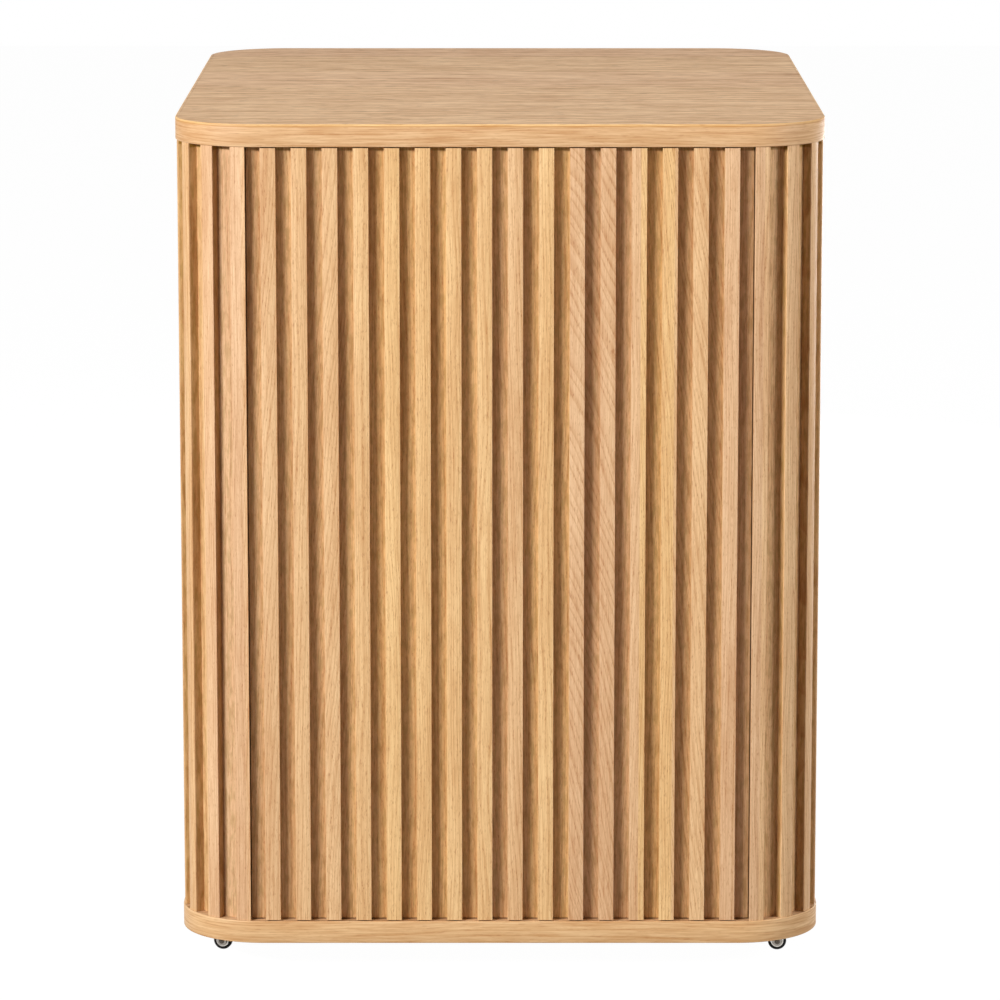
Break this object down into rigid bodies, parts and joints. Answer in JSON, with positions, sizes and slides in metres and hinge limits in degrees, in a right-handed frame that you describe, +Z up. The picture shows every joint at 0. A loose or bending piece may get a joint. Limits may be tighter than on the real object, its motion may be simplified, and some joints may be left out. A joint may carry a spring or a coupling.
{
  "type": "file cabinet",
  "caption": "Rolling wooden file cabinet with a fluted, round-cornered body, one tall push-to-open pull-out for hanging files, a sliding inner tray and small swivel castors.",
  "frame": {"origin": "on the floor under the middle of the plan", "axes": "+Z up, -Y out of the front that pulls out, +X to the right seen from the front"},
  "size_m": [0.46, 0.58, 0.61],
  "materials": {
    "oak_veneer": "matt lacquered oak veneer",
    "oak_edge": "matt lacquered oak edging",
    "fluted_oak": "matt lacquered solid oak, milled in flutes",
    "birch_ply": "clear lacquered birch plywood",
    "zinc_steel": "bright zinc plate",
    "aluminium_profile": "anodised",
    "castor_steel": "satin nickel-plated pressed steel",
    "hub_metal": "polished",
    "tyre_rubber": "matt",
    "plunger_rubber": "matt",
    "grey_plastic": "moulded"
  },
  "bodies": {
    "case": {"top_panel": "oak_veneer", "top_edge_band": "oak_edge", "base_panel": "oak_veneer", "base_edge_band": "oak_edge", "corner_post_front_left": "fluted_oak", "corner_post_front_right": "fluted_oak", "corner_post_rear_left": "fluted_oak", "corner_post_rear_right": "fluted_oak", "side_panel_left": "fluted_oak", "side_panel_right": "fluted_oak", "back_panel": "fluted_oak", "inner_side_left": "birch_ply", "inner_side_right": "birch_ply", "runner_case_rail_left": "zinc_steel", "runner_case_rail_right": "zinc_steel", "latch_housing": "grey_plastic", "castor_plate_front_left": "castor_steel", "castor_plate_front_right": "castor_steel", "castor_plate_rear_left": "castor_steel", "castor_plate_rear_right": "castor_steel"},
    "drawer": {"front_panel": "fluted_oak", "drawer_inner_front": "birch_ply", "drawer_side_left": "birch_ply", "drawer_side_right": "birch_ply", "drawer_back": "birch_ply", "drawer_bottom": "birch_ply", "file_rail_left": "aluminium_profile", "file_rail_right": "aluminium_profile", "tray_runner_left": "aluminium_profile", "tray_runner_right": "aluminium_profile", "runner_drawer_rail_left": "zinc_steel", "runner_drawer_rail_right": "zinc_steel", "runner_clip_left": "grey_plastic", "runner_clip_right": "grey_plastic", "latch_strike": "zinc_steel"},
    "runner_middle_left": {"runner_middle_rail_left": "zinc_steel"},
    "runner_middle_right": {"runner_middle_rail_right": "zinc_steel"},
    "tray": {"tray_frame": "birch_ply", "tray_bottom": "birch_ply", "tray_divider_long": "birch_ply", "tray_divider_left": "birch_ply", "tray_divider_right": "birch_ply"},
    "latch_plunger": {"latch_plunger": "plunger_rubber"},
    "castor_swivel_front_left": {"castor_fork_front_left": "castor_steel", "castor_axle_front_left": "zinc_steel"},
    "castor_wheel_front_left": {"castor_hub_front_left": "hub_metal", "castor_tyre_front_left": "tyre_rubber"},
    "castor_swivel_front_right": {"castor_fork_front_right": "castor_steel", "castor_axle_front_right": "zinc_steel"},
    "castor_wheel_front_right": {"castor_hub_front_right": "hub_metal", "castor_tyre_front_right": "tyre_rubber"},
    "castor_swivel_rear_left": {"castor_fork_rear_left": "castor_steel", "castor_axle_rear_left": "zinc_steel"},
    "castor_wheel_rear_left": {"castor_hub_rear_left": "hub_metal", "castor_tyre_rear_left": "tyre_rubber"},
    "castor_swivel_rear_right": {"castor_fork_rear_right": "castor_steel", "castor_axle_rear_right": "zinc_steel"},
    "castor_wheel_rear_right": {"castor_hub_rear_right": "hub_metal", "castor_tyre_rear_right": "tyre_rubber"}
  },
  "joints": [
    {"name": "drawer_slide", "type": "slide", "parent": "case", "child": "drawer", "axis": [0, -1, 0], "range_m": [0, 0.44]},
    {"name": "runner_left_slide", "type": "slide", "parent": "case", "child": "runner_middle_left", "axis": [0, -1, 0], "range_m": [0, 0.22]},
    {"name": "runner_right_slide", "type": "slide", "parent": "case", "child": "runner_middle_right", "axis": [0, -1, 0], "range_m": [0, 0.22]},
    {"name": "tray_slide", "type": "slide", "parent": "drawer", "child": "tray", "axis": [0, 1, 0], "range_m": [0, 0.225]},
    {"name": "latch_press", "type": "slide", "parent": "case", "child": "latch_plunger", "axis": [0, 1, 0], "range_m": [0, 0.0025], "stiffness_N_per_m": 300},
    {"name": "front_left_swivel", "type": "hinge", "parent": "case", "child": "castor_swivel_front_left", "pos_m": [-0.196, -0.228, 0.0153], "axis": [0, 0, 1], "continuous": true},
    {"name": "front_left_roll", "type": "hinge", "parent": "castor_swivel_front_left", "child": "castor_wheel_front_left", "pos_m": [-0.20185, -0.22665, 0.00669], "axis": [-0.225, -0.9744, 0], "continuous": true},
    {"name": "front_right_swivel", "type": "hinge", "parent": "case", "child": "castor_swivel_front_right", "pos_m": [0.196, -0.228, 0.0153], "axis": [0, 0, 1], "continuous": true},
    {"name": "front_right_roll", "type": "hinge", "parent": "castor_swivel_front_right", "child": "castor_wheel_front_right", "pos_m": [0.202, -0.228, 0.00669], "axis": [0, 1, 0], "continuous": true},
    {"name": "rear_left_swivel", "type": "hinge", "parent": "case", "child": "castor_swivel_rear_left", "pos_m": [-0.196, 0.228, 0.0153], "axis": [0, 0, 1], "continuous": true},
    {"name": "rear_left_roll", "type": "hinge", "parent": "castor_swivel_rear_left", "child": "castor_wheel_rear_left", "pos_m": [-0.19704, 0.23391, 0.00669], "axis": [-0.9848, -0.1736, 0], "continuous": true},
    {"name": "rear_right_swivel", "type": "hinge", "parent": "case", "child": "castor_swivel_rear_right", "pos_m": [0.196, 0.228, 0.0153], "axis": [0, 0, 1], "continuous": true},
    {"name": "rear_right_roll", "type": "hinge", "parent": "castor_swivel_rear_right", "child": "castor_wheel_rear_right", "pos_m": [0.19704, 0.23391, 0.00669], "axis": [-0.9848, 0.1736, 0], "continuous": true}
  ],
  "couplings": [
    {"joint": "runner_left_slide", "follows": "drawer_slide", "ratio": 0.5},
    {"joint": "runner_right_slide", "follows": "drawer_slide", "ratio": 0.5}
  ]
}
